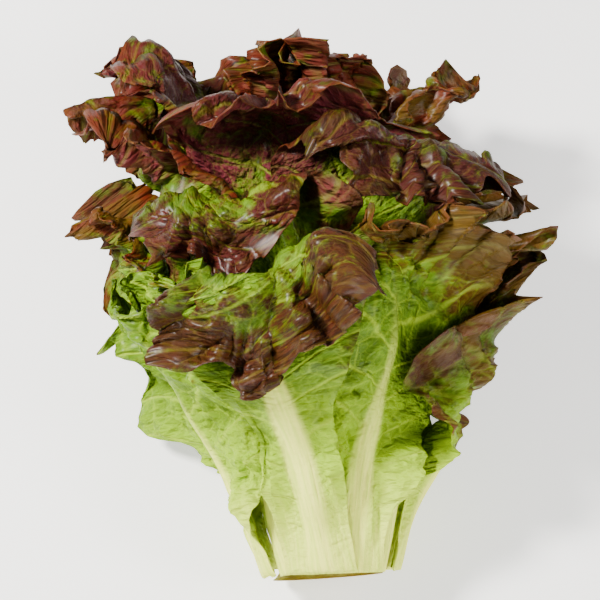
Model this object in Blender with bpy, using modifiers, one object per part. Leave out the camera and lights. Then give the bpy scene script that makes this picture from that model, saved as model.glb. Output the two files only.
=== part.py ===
"""A head of red leaf lettuce, cut at the butt and lying on its back, with the cut end towards -Y.

The head is a fountain of leaves round one axis. A point of it has an azimuth round the axis, a distance
along the streamline that its leaf follows up from the butt, and a layer: 0 is the axis and 1 the
outermost leaf. Streamlines never cross, so two leaves that lie in different layers never do either.
Leaves are laid from the heart outwards, and each is pushed out until it clears those inside it.
"""

import math
from dataclasses import dataclass

import bmesh
import bpy
import numpy as np

# Lengths are in metres and angles in degrees.
MM = 0.001
BUTT_RADIUS = 22 * MM
CORE_HEIGHT = 50 * MM  # of the stem inside the head, above the cut
BUTT_TRIM = 1 * MM  # from the cut up to the lowest leaf base
BLADE_THICKNESS = 0.8 * MM
RIB_HEIGHT = 3.0 * MM  # of the midrib over the blade, at the leaf's base
RIB_HALF_WIDTH = 6 * MM  # at the leaf's base
STALK_HALF_WIDTH = 8 * MM
LEAF_GAP = 2.0 * MM  # left between one leaf and the next
ROOT_GAP = 0.8 * MM  # between a leaf's base and the stem, and the next leaf's base
RUFFLE_REST = 0.3  # of a leaf's ruffles that it keeps where it presses on the leaf inside it
SOFT_CONTACT = 1.5 * MM  # over which a leaf eases off the one inside it

# Shares of a leaf's length or half width.
WIDEST = 0.74
TIP_NARROWING = 0.35
LOBE_SIZE = 0.04  # of the bulges and nicks along its margin
LOBE_COUNTS = (7, 11)  # round the whole blade
FAN_CENTRE = 0.42  # where a leaf's pleats meet, up its midrib
RIGHT_OVER = 110  # the turn past which they meet in its fold instead
PLEATS = (6.5, 8.5)  # least and most, round the whole blade
SWAY = 5  # the most degrees that a midrib bows to one side

STALK_LEAN = 19  # of the outermost streamline from the axis, below its curl
TIP_CURL = 50  # that its tip leans out further
CURL_START = 90 * MM  # along the outermost streamline
CURL_DELAY = 60 * MM  # how much later the axis would curl
CURL_SPAN = 110 * MM

HEAD_TILT = 12  # of the axis above the surface that the head lies on
HEAD_LEAN = 4  # of the axis to the left, seen from the front
HEAD_ROLL = 4  # round its axis, to its right
DEPTH_SHARE = 0.83  # of the round head's depth, once its own weight has pressed it flatter
BACK_DEPTH = 140 * MM  # how far behind the axis it is pressed to half of that again
HEAD_CENTRE_X = 11.9 * MM  # of the cut's centre, to the right of the head's middle
HEAD_CENTRE_Y = 120.4 * MM  # from the cut to the middle of the head, along the surface
AXIS_HEIGHT = 20.8 * MM  # of the cut's centre over the surface

COLUMNS, ROWS = 14, 14  # cells across and along an outer leaf
INNER_SHARE = 0.7  # of those cells, in a leaf near the axis
STEM_SIDES, STEM_RINGS = 24, 9

# The stack's map of the head: one cell is a few degrees of azimuth by a few millimetres of streamline.
AZIMUTH_CELLS, DISTANCE_CELLS, LAYER_CELLS = 240, 140, 240
REACH = 280 * MM
DEEPEST = 2.4  # layers
CLEAR_CELLS, BLUR_CELLS = 6, 3  # a leaf keeps clear of what lies this near to it on the map


@dataclass
class Leaf:
    """azimuth: 0 faces up and 90 towards +X. skew: how far the midrib turns round the axis on its way
    up. wave: height of the ruffles. roll: how far the margin bends out. fold: distance along the
    streamline where the leaf folds over, and turn: by how much. stalk: share of the length that stays
    narrow. corner: how much shorter the blade is at its corners, as a share of its half width."""

    name: str
    azimuth: float
    layer: float
    length: float
    half_width: float
    seed: int
    wave: float = 9
    roll: float = 5
    skew: float = 0
    fold: float = 0
    turn: float = 0
    fold_radius: float = 12
    stalk: float = 0.14
    corner: float = 0.42


LEAVES = [
    Leaf("leaf_01", -4, 1.04, 214, 34, 1, 8, 0, -4, 142, 165, 14, stalk=0.26, corner=0.1),
    Leaf("leaf_02", -68, 0.98, 134, 46, 2, 12, 6, 0, 114, 60, 10, stalk=0.05),
    Leaf("leaf_03", -36, 0.92, 158, 42, 3, 11, 6, 0, 138, 50, 10, stalk=0.05),
    Leaf("leaf_04", 14, 1.00, 168, 40, 4, 11, 5, 14, 150, 50, 10, stalk=0.1),
    Leaf("leaf_05", 48, 0.96, 172, 50, 5, 12, 6, 8, 150, 60, 11, stalk=0.08),
    Leaf("leaf_06", 82, 1.00, 147, 50, 6, 12, 6),
    Leaf("leaf_07", -98, 0.85, 184, 56, 7, 11, 6),
    Leaf("leaf_08", -140, 0.84, 204, 54, 8, 5, 0),
    Leaf("leaf_09", 176, 0.78, 222, 58, 9, 5, 0),
    Leaf("leaf_10", 132, 0.84, 208, 56, 10, 6, 2),
    Leaf("leaf_11", -80, 0.62, 229, 58, 11, 11, 4, 0, 208, 60, 12),
    Leaf("leaf_12", 78, 0.74, 194, 62, 12, 12, 4, 0, 174, 45, 12),
    Leaf("leaf_13", -34, 0.76, 224, 48, 13, 10, 2, fold=170, turn=145, corner=0.2),
    Leaf("leaf_14", 28, 0.70, 240, 52, 14, 11, 2, fold=188, turn=150, corner=0.2),
    Leaf("leaf_15", 150, 0.58, 240, 60, 15, 7, 3),
    Leaf("leaf_16", -140, 0.54, 248, 60, 16, 8, 3),
    Leaf("leaf_17", -8, 0.50, 244, 54, 17, 10, 4, fold=206, turn=120, corner=0.2),
    Leaf("leaf_18", 90, 0.42, 246, 58, 18, 10, 4, 0, 220, 60, 12),
    Leaf("leaf_19", -100, 0.40, 250, 54, 19, 9, 4, 0, 222, 70, 12),
    Leaf("heart_leaf_1", 10, 0.28, 252, 36, 20, 7, 3, 0, 230, 55, 10),
    Leaf("heart_leaf_2", 176, 0.20, 246, 34, 21, 3, 4),
    Leaf("heart_leaf_3", 60, 0.08, 210, 26, 22, 2, 3),
]


def smoothstep(x):
    x = np.clip(x, 0, 1)
    return x * x * (3 - 2 * x)


def running_sum(values, step):
    """The integral of values along the last axis, by the trapezium rule, from 0."""
    areas = (values[:, 1:] + values[:, :-1]) / 2 * step
    return np.concatenate([np.zeros((len(values), 1)), np.cumsum(areas, axis=1)], axis=1)


def read_map(table, row, column):
    """table between its cells, at rows and columns counted in cells."""
    row = np.clip(row, 0, table.shape[0] - 1.001)
    column = np.clip(column, 0, table.shape[1] - 1.001)
    i, j = row.astype(int), column.astype(int)
    p, q = row - i, column - j
    near = table[i, j] * (1 - q) + table[i, j + 1] * q
    far = table[i + 1, j] * (1 - q) + table[i + 1, j + 1] * q
    return near * (1 - p) + far * p


class Fountain:
    """The streamlines, worked out once for a range of layers."""

    def __init__(self):
        self.layer_step = DEEPEST / LAYER_CELLS
        self.distance_step = REACH / DISTANCE_CELLS
        layer = (np.arange(LAYER_CELLS + 1) * self.layer_step)[:, None]
        distance = (np.arange(DISTANCE_CELLS + 1) * self.distance_step)[None, :]
        # Past the outermost leaf's own layer, the streamlines run nearly side by side.
        past = (layer + np.hypot(layer - 1, 0.15) - math.hypot(1, 0.15)) / 2
        spread = layer - 0.7 * past
        start = CURL_START + CURL_DELAY * (1 - np.minimum(layer, 1))
        share = 1.6 * spread**2.5 / (0.6 + spread**2.5)
        curl = TIP_CURL * share * smoothstep((distance - start) / CURL_SPAN)
        lean = np.radians(spread * STALK_LEAN + curl)
        butt = BUTT_RADIUS * (layer + 1.5 * past)
        self.radius = butt + running_sum(np.sin(lean), self.distance_step)
        self.height = running_sum(np.cos(lean), self.distance_step)
        self.spacing = np.gradient(self.radius, self.layer_step, axis=0) * np.cos(lean)
        self.spacing -= np.gradient(self.height, self.layer_step, axis=0) * np.sin(lean)

    def read(self, table, distance, layer):
        layer = np.broadcast_to(layer, np.shape(distance))
        return read_map(table, layer / self.layer_step, distance / self.distance_step)

    def pressed_spacing(self, azimuth, distance, layer):
        """The distance from one layer to the next, once the head lies on its back."""
        front = self.read(self.radius, distance, layer) * np.cos(azimuth)
        towards = np.cos(azimuth) / (DEPTH_SHARE * back_share(front) ** 2)
        return self.read(self.spacing, distance, layer) / np.hypot(np.sin(azimuth), towards)

    def layer_at(self, azimuth, distance, layer, offset):
        """The layer that lies so far outside another one."""
        first = layer + offset / self.pressed_spacing(azimuth, distance, layer)
        return layer + offset / self.pressed_spacing(azimuth, distance, (layer + first) / 2)

    def point(self, azimuth, distance, layer):
        """In the head's own frame: X to the side, Y up the axis and Z to the front."""
        radius = self.read(self.radius, distance, layer)
        height = self.read(self.height, distance, layer)
        return np.stack([radius * np.sin(azimuth), height, radius * np.cos(azimuth)], axis=-1)


def over_neighbours(field, cells, combine):
    """Each cell combined with those near it, round the azimuths and along the streamlines."""
    around = [np.roll(field, step, axis=0) for step in range(-cells, cells + 1)]
    field = np.pad(combine(around, axis=0), ((0, 0), (cells, cells)), mode="edge")
    beside = [np.roll(field, step, axis=1) for step in range(-cells, cells + 1)]
    return combine(beside, axis=0)[:, cells:-cells]


def azimuth_cells(azimuth):
    return np.mod(azimuth, 2 * math.pi) * AZIMUTH_CELLS / (2 * math.pi)


def root_distance(layer):
    """From the cut to where a leaf of that layer leaves the stem."""
    return BUTT_TRIM + CORE_HEIGHT * (1 - np.clip(layer, 0, 1)) ** 1.3


class Sheet:
    """One leaf as a sheet through the fountain. across runs from -1 to 1 and along from 0 to 1."""

    def __init__(self, leaf, fountain, floor):
        self.leaf = leaf
        self.fountain = fountain
        self.floor = floor
        self.root = root_distance(leaf.layer)
        self.length = leaf.length * MM - self.root
        random = np.random.default_rng(leaf.seed)
        self.phases = random.uniform(0, 2 * math.pi, 8)
        self.pleats = random.uniform(*PLEATS)
        self.sway = random.uniform(-SWAY, SWAY)
        # A leaf that folds right over has its pleats meet in the fold.
        over = leaf.turn > RIGHT_OVER
        self.centre = (leaf.fold * MM - self.root) / self.length if over else FAN_CENTRE

    def half_width(self, along):
        """Narrow up the stalk, widest near three quarters of the way up, and less wide at the tip."""
        most = self.leaf.half_width * MM
        blade = smoothstep((along - self.leaf.stalk) / (WIDEST - self.leaf.stalk))
        tip = 1 - TIP_NARROWING * smoothstep((along - WIDEST) / (1.5 - WIDEST))
        return (STALK_HALF_WIDTH + (most - STALK_HALF_WIDTH) * blade) * tip

    def lobes(self, across, along):
        """How far the margin bulges and nicks, as a share of the leaf's size."""
        turn = np.arctan2(across, along - 0.45)
        few, many = (np.sin(n * turn + phase) for n, phase in zip(LOBE_COUNTS, self.phases))
        edge = np.maximum(np.abs(across), smoothstep((along - 0.7) / 0.3))
        return LOBE_SIZE * (few + 0.5 * many) * edge**3

    def ruffle(self, across, along):
        """How high the blade waves, and where in the wave it is, from about -1 to 1. The pleats fan out
        from a point on the midrib."""
        above = np.maximum(along - self.centre, 0) / (1 - self.centre)
        reach = np.clip(np.hypot(across, above), 0, 1.25)
        rise = reach**1.6 * smoothstep((along - 0.10) / 0.35)
        turn = np.arctan2(across * 0.9, along - self.centre)
        p = self.phases
        pleats = np.sin(self.pleats * turn + p[2] + 0.9 * np.sin(2 * turn + p[3]))
        sway = np.sin(3 * turn + p[5])
        return self.leaf.wave * MM * rise, 0.7 * pleats + 0.45 * sway

    def bend(self, run, across, offset):
        """(distance, offset, turn) past the fold, which turns the leaf out and down over itself."""
        leaf = self.leaf
        if not leaf.fold:
            return run, offset, np.zeros_like(run)
        p = self.phases
        radius = leaf.fold_radius * MM * (1 + 0.2 * np.sin(3 * across + p[6]))
        most = np.radians(leaf.turn + 10 * np.sin(2.5 * across + p[7]))
        start = (leaf.fold - 12 * across**2 + 4 * np.sin(4 * across + p[6])) * MM
        past = run - start
        turn = np.clip(past / radius, 0, most)
        rest = np.maximum(past - radius * most, 0)
        distance = np.minimum(run, start) + (radius - offset) * np.sin(turn) + rest * np.cos(turn)
        lift = radius - (radius - offset) * np.cos(turn) + rest * np.sin(turn)
        return distance, lift, turn

    def rib(self, across, along):
        """Height of the midrib over the blade."""
        width = RIB_HALF_WIDTH * (1 - 0.8 * smoothstep(along / 0.9))
        height = RIB_HEIGHT * (1 - smoothstep((along - 0.05) / 0.85))
        return height * np.exp(-((self.half_width(along) * across / width) ** 2))

    def place(self, across, along):
        """azimuth, then (distance, layer) of the leaf's inner face and of its outer face."""
        leaf, fountain = self.leaf, self.fountain
        lobes = self.lobes(across, along)
        side = self.half_width(along) * across * (1 + lobes)
        corner = leaf.corner * leaf.half_width * MM * np.abs(across) ** 2.4 * along**3
        run = self.root + self.length * (1 + 0.6 * lobes * along**2) * along - corner
        margin = np.maximum(np.abs(across), along**4) ** 3 * smoothstep(along * 2 - 0.6)
        height, wave = self.ruffle(across, along)
        lift = height * wave + leaf.roll * MM * margin
        thick = BLADE_THICKNESS + self.rib(across, along)

        distance, inner, turn = self.bend(run, across, lift)
        outer_distance, outer, _ = self.bend(run, across, lift + thick)
        radius = fountain.read(fountain.radius, distance, leaf.layer)
        middle = leaf.azimuth + leaf.skew * along + self.sway * np.sin(math.pi * along)
        azimuth = np.radians(middle) + side / np.maximum(radius, 0.9 * BUTT_RADIUS)

        spacing = fountain.pressed_spacing(azimuth, distance, leaf.layer)
        gap = ROOT_GAP + (LEAF_GAP - ROOT_GAP) * smoothstep(along * 3)
        gap += BLADE_THICKNESS * np.maximum(-np.cos(turn), 0)
        gap += RUFFLE_REST * height * (1.2 + wave)
        floor = self.read_floor(azimuth, distance) + gap / spacing
        free = fountain.layer_at(azimuth, distance, leaf.layer, inner)
        soft = SOFT_CONTACT / spacing
        inner = (free + floor + np.sqrt((free - floor) ** 2 + soft**2)) / 2
        outer = fountain.layer_at(azimuth, outer_distance, leaf.layer, outer) + inner - free
        drop = (self.root - root_distance(inner)) * smoothstep(1 - 5 * along)
        return azimuth, (distance - drop, inner), (outer_distance - drop, outer)

    def read_floor(self, azimuth, distance):
        """The stack's height under a place. Its first azimuth stands again at the end, to close it."""
        closed = np.concatenate([self.floor, self.floor[:1]])
        return read_map(closed, azimuth_cells(azimuth), distance / self.fountain.distance_step)

    def outer_face(self, across, along):
        azimuth, _, (distance, layer) = self.place(across, along)
        return lay_down(self.fountain.point(azimuth, distance, layer))


def stack(leaves, fountain):
    """Lays the leaves from the heart outwards and returns a Sheet for each."""
    top = np.zeros((AZIMUTH_CELLS, DISTANCE_CELLS + 1))
    side = np.linspace(-1, 1, 181)
    samples = np.meshgrid(side, (side + 1) / 2)
    sheets = []
    for leaf in sorted(leaves, key=lambda leaf: leaf.layer):
        highest = over_neighbours(top, CLEAR_CELLS, np.max)
        sheet = Sheet(leaf, fountain, over_neighbours(highest, BLUR_CELLS, np.mean))
        azimuth, *faces = sheet.place(*samples)
        for distance, layer in faces:
            i = azimuth_cells(azimuth).astype(int) % AZIMUTH_CELLS
            j = np.clip((distance / fountain.distance_step).astype(int), 0, DISTANCE_CELLS)
            np.maximum.at(top, (i, j), layer)
        sheets.append(sheet)
    return sheets


# Slow swells that bend the whole head a little, so that nothing in it is a true circle: the length of
# each swell and how far it moves a point.
SWELLS = ((150, 6.0), (95, 4.0), (60, 2.2), (38, 1.0))


def swell(points):
    """Moves points by the sum of the swells, which fade out towards the butt."""
    random = np.random.default_rng(4)
    moved = points.copy()
    fade = smoothstep((points[:, 1] - 40 * MM) / (90 * MM))
    for length, height in SWELLS:
        for _ in range(3):
            across, along = random.normal(size=(2, 3))
            along -= across * (across @ along) / (across @ across)
            across, along = (v / np.linalg.norm(v) for v in (across, along))
            phase = random.uniform(0, 2 * math.pi)
            wave = np.sin(points @ along * 2 * math.pi / (length * MM) + phase)
            moved += (height * MM * fade * wave)[:, None] * across
    return moved


def back_share(front):
    """What is left of a depth behind the axis, where the head's weight presses it flat."""
    return 1 / (1 - np.minimum(front, 0) / BACK_DEPTH)


def turned(first, second, angle):
    """Two coordinates after a turn from the first axis towards the second."""
    cosine, sine = math.cos(math.radians(angle)), math.sin(math.radians(angle))
    return first * cosine - second * sine, first * sine + second * cosine


def lay_down(points):
    """From the head's own frame to the surface that it lies on."""
    side, up, front = swell(points).T
    front = DEPTH_SHARE * front * back_share(front)
    side, front = turned(side, front, -HEAD_ROLL)
    side, up = turned(side, up, HEAD_LEAN)
    up, front = turned(up, front, HEAD_TILT)
    return np.stack([side + HEAD_CENTRE_X, up - HEAD_CENTRE_Y, front + AXIS_HEIGHT], axis=-1)


def material(name, colour, roughness):
    made = bpy.data.materials.new(name)
    made.use_nodes = True
    shader = made.node_tree.nodes["Principled BSDF"]
    shader.inputs["Base Color"].default_value = (*colour, 1)
    shader.inputs["Roughness"].default_value = roughness
    made.diffuse_color = (*colour, 1)
    return made


def add_object(name, bm, collection, finish):
    mesh = bpy.data.meshes.new(name)
    bm.to_mesh(mesh)
    bm.free()
    made = bpy.data.objects.new(name, mesh)
    collection.objects.link(made)
    mesh.materials.append(finish)
    mesh.shade_smooth()
    return made


def add_leaf(sheet, collection, finish):
    leaf = sheet.leaf
    share = INNER_SHARE + (1 - INNER_SHARE) * min(leaf.layer / 0.8, 1)
    bm = bmesh.new()
    bmesh.ops.create_grid(
        bm, x_segments=round(COLUMNS * share), y_segments=round(ROWS * share), size=1
    )
    grid = np.array([v.co for v in bm.verts])
    across = np.sign(grid[:, 0]) * np.abs(grid[:, 0]) ** 1.15
    along = 1 - ((1 - grid[:, 1]) / 2) ** 1.25
    points = sheet.outer_face(across, along)
    # Nothing reaches below the surface, and what lies on it is pressed flat.
    points[:, 2] = np.maximum(points[:, 2], 0)
    for vertex, point in zip(bm.verts, points):
        vertex.co = point
    bmesh.ops.triangulate(bm, faces=bm.faces, quad_method="SHORT_EDGE")
    made = add_object(leaf.name, bm, collection, finish)
    thick = BLADE_THICKNESS + sheet.rib(across, along)
    group = made.vertex_groups.new(name="thickness")
    for i, value in enumerate(thick):
        group.add([i], float(value / (BLADE_THICKNESS + RIB_HEIGHT)), "REPLACE")
    solid = made.modifiers.new("blade", "SOLIDIFY")
    solid.thickness = BLADE_THICKNESS + RIB_HEIGHT
    solid.offset = -1
    solid.vertex_group = "thickness"
    return made


def add_stem(fountain, collection, finish):
    """The cut stem inside the leaf bases: turned round the axis, just under where the leaves leave it."""
    layers = np.linspace(0, 1, STEM_RINGS)
    distance = root_distance(layers) - ROOT_GAP
    radius = fountain.read(fountain.radius, distance, layers)
    height = fountain.read(fountain.height, distance, layers)
    outline = [*zip(radius, height), (radius[-1], 0), (0, 0)]
    bm = bmesh.new()
    chain = [bm.verts.new((r, h, 0)) for r, h in outline]
    for a, b in zip(chain, chain[1:]):
        bm.edges.new((a, b))
    made = add_object("stem", bm, collection, finish)
    turn = made.modifiers.new("turn", "SCREW")
    turn.axis = "Y"
    turn.steps = turn.render_steps = STEM_SIDES
    turn.use_merge_vertices = True
    turn.merge_threshold = 0.01 * MM
    with bpy.context.temp_override(object=made):
        bpy.ops.object.modifier_apply(modifier=turn.name)
    points = lay_down(np.array([v.co for v in made.data.vertices]))
    made.data.vertices.foreach_set("co", points.ravel())
    return made


def main():
    for thing in list(bpy.data.objects):
        bpy.data.objects.remove(thing)
    head = bpy.data.collections.new("red_leaf_lettuce")
    bpy.context.scene.collection.children.link(head)
    red = material("red_leaf", (0.16, 0.05, 0.03), 0.38)
    green = material("green_leaf", (0.28, 0.42, 0.08), 0.45)
    pale = material("pale_stem", (0.80, 0.80, 0.58), 0.5)
    fountain = Fountain()
    add_stem(fountain, head, pale)
    for sheet in stack(LEAVES, fountain):
        add_leaf(sheet, head, red if sheet.leaf.layer > 0.3 else green)


main()
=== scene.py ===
"""Looks of a red leaf lettuce head that lies on its back: ruffled leaves, the cut stem and the stage.

Each leaf follows its solid, with finer cells, frilled margins and a crumpled blade between its veins.
Lengths are in metres and angles in degrees.
"""

import math
from dataclasses import dataclass

import bmesh
import bpy
import numpy as np
from bpy.props import FloatProperty, FloatVectorProperty, IntProperty, PointerProperty
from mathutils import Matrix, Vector


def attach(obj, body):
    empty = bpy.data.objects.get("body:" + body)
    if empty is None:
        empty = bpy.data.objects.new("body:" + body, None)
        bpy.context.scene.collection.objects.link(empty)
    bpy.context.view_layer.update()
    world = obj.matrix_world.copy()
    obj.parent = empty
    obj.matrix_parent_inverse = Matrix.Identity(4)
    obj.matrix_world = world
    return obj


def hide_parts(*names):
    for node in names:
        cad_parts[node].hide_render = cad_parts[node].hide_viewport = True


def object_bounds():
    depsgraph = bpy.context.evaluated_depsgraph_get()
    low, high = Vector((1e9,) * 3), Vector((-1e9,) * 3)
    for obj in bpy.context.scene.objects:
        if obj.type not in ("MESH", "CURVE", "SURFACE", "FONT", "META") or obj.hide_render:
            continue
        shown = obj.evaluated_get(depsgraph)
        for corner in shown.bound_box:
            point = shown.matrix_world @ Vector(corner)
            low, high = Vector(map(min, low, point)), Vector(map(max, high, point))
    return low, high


bl_info = {
    "name": "Red leaf lettuce",
    "version": (1, 0, 0),
    "blender": (4, 5, 0),
    "location": "View3D > Sidebar > Lettuce",
    "description": "Builds the leaves, the stem and the stage of a red leaf lettuce head",
    "category": "Object",
}

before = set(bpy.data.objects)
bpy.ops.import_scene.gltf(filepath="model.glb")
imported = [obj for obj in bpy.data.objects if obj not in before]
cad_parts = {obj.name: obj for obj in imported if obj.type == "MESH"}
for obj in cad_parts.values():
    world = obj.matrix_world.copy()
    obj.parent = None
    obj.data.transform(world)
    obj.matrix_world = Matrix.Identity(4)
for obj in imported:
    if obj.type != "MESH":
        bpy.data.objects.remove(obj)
SOLID_LOW, SOLID_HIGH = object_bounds()

MM = 0.001
CM = 0.01

# The head's streamlines, its leaves' shape and its pose on the surface. The solids share them, but for
# lower midribs, narrower stalks and a slightly deeper head.
BUTT_RADIUS = 22 * MM
CORE_HEIGHT = 50 * MM  # of the stem inside the head, above the cut
BUTT_TRIM = 1 * MM  # from the cut up to the lowest leaf base
RIB_HEIGHT = 4.8 * MM  # of the midrib over the blade, at the leaf's base
RIB_HALF_WIDTH = 6 * MM  # at the leaf's base
STALK_HALF_WIDTH = 11.3 * MM
ROOT_GAP = 0.8 * MM  # between a leaf's base and the stem, and the next leaf's base
RUFFLE_REST = 0.3  # of a leaf's ruffles that it keeps where it presses on the leaf inside it
SOFT_CONTACT = 1.5 * MM  # over which a leaf eases off the one inside it
WIDEST = 0.74  # where a blade is widest, up its length
TIP_NARROWING = 0.35
LOBE_SIZE = 0.04  # of the bulges and nicks along its margin
LOBE_COUNTS = (7, 11)  # round the whole blade
FAN_CENTRE = 0.42  # where a leaf's pleats meet, up its midrib
RIGHT_OVER = 110  # the turn past which they meet in its fold instead
PLEATS = (6.5, 8.5)  # least and most, round the whole blade
SWAY = 5  # the most degrees that a midrib bows to one side
STALK_LEAN = 19  # of the outermost streamline from the axis, below its curl
TIP_CURL = 50  # that its tip leans out further
CURL_START = 90 * MM  # along the outermost streamline
CURL_DELAY = 60 * MM  # how much later the axis would curl
CURL_SPAN = 110 * MM
HEAD_TILT = 12  # of the axis above the surface that the head lies on
HEAD_LEAN = 4  # of the axis to the left, seen from the front
HEAD_ROLL = 4  # round its axis, to its right
DEPTH_SHARE = 0.81  # of the round head's depth, once its own weight has pressed it flatter
BACK_DEPTH = 140 * MM  # how far behind the axis it is pressed to half of that again
HEAD_CENTRE_X = 11.9 * MM  # of the cut's centre, to the right of the head's middle
HEAD_CENTRE_Y = 120.4 * MM  # from the cut to the middle of the head, along the surface
AXIS_HEIGHT = 20.8 * MM  # of the cut's centre over the surface
AZIMUTH_CELLS, DISTANCE_CELLS, LAYER_CELLS = 240, 140, 240
REACH = 280 * MM
DEEPEST = 2.4  # layers
SWELLS = ((150, 6.0), (95, 4.0), (60, 2.2), (38, 1.0))  # lengths and heights in millimetres
SWELL_SEED = 4
SWELL_FADE = (40 * MM, 90 * MM)  # from where up the head, and over how much

# What only the fine leaves have.
LEAF_GAP = 1.2 * MM  # left between one leaf and the next
FOLD_ROOM = 0.6  # of a fold's radius that waves may take up where a blade lies over itself
FOLD_PUSH = 6 * MM
FLAT_OVER = 130  # degrees: a leaf that folds over further than this lies on its own blade
OWN_COVER = 55 * MM  # how far below its fold it then covers itself
COVERED_SHARE = 0.3  # of its frills and crumples that a leaf keeps where another lies over it
BARE_REST = 3 * MM  # further off the leaf below where none lies over it, for its frills
CLEAR_CELLS, BLUR_CELLS = 4, 3  # by which a height map is widened, and smoothed
# Frills: how many go round a blade, their share of the height, and how far out they begin.
FRILLS = ((13, 1.0, 0.3), (27, 0.34, 0.5))
OVERHANG = 0.42  # how far a frill leans over itself; from 0.5 up it overhangs
NICKS = ((13, 0.014), (29, 0.007))  # how many round a blade, and how deep
CUSHIONS = ((19 * MM, 1.0), (10 * MM, 1.0), (5.5 * MM, 0.55))  # how far across, and their share of the height
CRUMPLE = 30 * MM  # across
CRUMPLE_HEIGHT = 4.5 * MM
VEIN_STEP = 17 * MM  # from one side vein to the next, along the midrib
QUILT_HEIGHT = 2.4 * MM  # of the blade between two side veins
SOFT_MARGIN = 5 * MM  # over which a tip is eased back inside the solids' box
HEART_CELLS = 0.72  # a heart leaf's share of the cells that an outer leaf has each way

# How a leaf's colours lie along it. The first two are lengths up it, from where and over how much.
CREAM = (4 * MM, 54 * MM)
PALE = (30 * MM, 75 * MM)
RED_OVER = 0.45  # of its length, from green to red
RED_MARGIN = 0.7  # how much redder it is at its margin

# The camera looks down on the head, square to it and from its front.
CAMERA_LENS = 130  # millimetres
CAMERA_ELEVATION = 73
FRAME_WIDTH = 0.257  # of the picture, at the head's middle
AIM_RIGHT = -0.5 * MM
AIM_UP = -11.3 * MM
LAMPS = (  # name, place, watts and size
    ("key", (-0.62, 0.16, 0.83), 31, 0.18),
    ("fill", (0.75, -0.2, 0.75), 9, 0.35),
    ("front", (0.0, -0.95, 0.45), 8, 0.35),
)
LAMP_COLOUR = (1, 0.965, 0.91)
SKY_STRENGTH = 0.3
FLOOR_GLOW = 0.7


@dataclass
class Leaf:
    """azimuth: 0 faces up and 90 towards +X. layer: 0 at the axis and 1 at the outside. skew: how far the
    midrib turns round the axis on its way up. wave: height of the ruffles. roll: how far the margin bends
    out. fold: distance along the streamline where the leaf folds over, and turn: by how much. stalk:
    share of the length that stays narrow. corner: how much shorter the blade is at its corners, as a
    share of its half width. green: how far up it the red begins. wine: how far its red leans from brown
    to wine red, or to olive below 0. dark: how far it leans to nearly black. frill: its frills' share of
    their full height."""

    name: str
    azimuth: float
    layer: float
    length: float
    half_width: float
    seed: int
    wave: float = 9
    roll: float = 5
    skew: float = 0
    fold: float = 0
    turn: float = 0
    fold_radius: float = 12
    stalk: float = 0.14
    corner: float = 0.42
    green: float = 0.5
    wine: float = 0
    dark: float = 0
    frill: float = 1


LEAVES = [
    Leaf(
        "leaf_01", -7, 1.04, 220, 36, 1, 8, 0, -4, 142, 165, 14, 0.26, 0.1,
        green=0.52, dark=0.75, frill=0.5,
    ),
    Leaf("leaf_02", -68, 0.98, 134, 46, 2, 12, 6, 0, 114, 60, 10, 0.05, green=1.15),
    Leaf("leaf_03", -36, 0.92, 158, 42, 3, 11, 6, 0, 138, 50, 10, 0.05, green=1.1),
    Leaf("leaf_04", 14, 1.00, 168, 40, 4, 14, 5, 14, 150, 50, 10, 0.1, green=0.54, wine=-0.8, dark=0.3),
    Leaf("leaf_05", 48, 0.96, 172, 50, 5, 12, 6, 8, 150, 60, 11, 0.08, green=0.55, wine=-0.8),
    Leaf("leaf_06", 82, 1.00, 147, 50, 6, 12, 6, green=0.36, wine=-0.8, dark=0.35),
    Leaf("leaf_07", -98, 0.85, 184, 56, 7, 11, 6, green=0.6, wine=0.1, dark=0.1),
    Leaf("leaf_08", -140, 0.84, 204, 54, 8, 5, 0, green=0.65),
    Leaf("leaf_09", 176, 0.78, 222, 58, 9, 5, 0, green=0.65),
    Leaf("leaf_10", 132, 0.84, 208, 56, 10, 6, 2, green=0.65),
    Leaf("leaf_11", -80, 0.62, 229, 58, 11, 11, 4, 0, 208, 60, 12, green=0.5, wine=0.35, dark=0.15),
    Leaf("leaf_12", 78, 0.74, 194, 62, 12, 12, 4, 0, 174, 45, 12, green=0.6, wine=-0.5),
    Leaf("leaf_13", -34, 0.76, 224, 48, 13, 10, 2, 0, 170, 145, corner=0.2, green=0.5, wine=0.6, dark=0.35),
    Leaf("leaf_14", 28, 0.70, 240, 52, 14, 11, 2, 0, 188, 150, corner=0.2, green=0.45, wine=1, dark=0.5),
    Leaf("leaf_15", 150, 0.58, 240, 60, 15, 7, 3, green=0.6),
    Leaf("leaf_16", -140, 0.54, 248, 60, 16, 8, 3, green=0.55, wine=0.4),
    Leaf("leaf_17", -8, 0.50, 244, 54, 17, 11, 4, 0, 206, 120, corner=0.2, green=0.36, wine=0.6),
    Leaf("leaf_18", 90, 0.42, 246, 58, 18, 10, 4, 0, 220, 60, 12, green=0.45),
    Leaf("leaf_19", -100, 0.40, 250, 54, 19, 9, 4, 0, 222, 70, 12, green=0.45, wine=0.6),
    Leaf("heart_leaf_1", 10, 0.28, 252, 36, 20, 7, 3, 0, 230, 55, 10, green=0.4, wine=0.3),
    Leaf("heart_leaf_2", 176, 0.20, 246, 34, 21, 3, 4, green=0.45, wine=0.3),
    Leaf("heart_leaf_3", 60, 0.08, 210, 26, 22, 2, 3, green=0.6),
]


def smoothstep(x):
    x = np.clip(x, 0, 1)
    return x * x * (3 - 2 * x)


def running_sum(values, step):
    """The integral of values along the last axis, by the trapezium rule, from 0."""
    areas = (values[:, 1:] + values[:, :-1]) / 2 * step
    return np.concatenate([np.zeros((len(values), 1)), np.cumsum(areas, axis=1)], axis=1)


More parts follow.
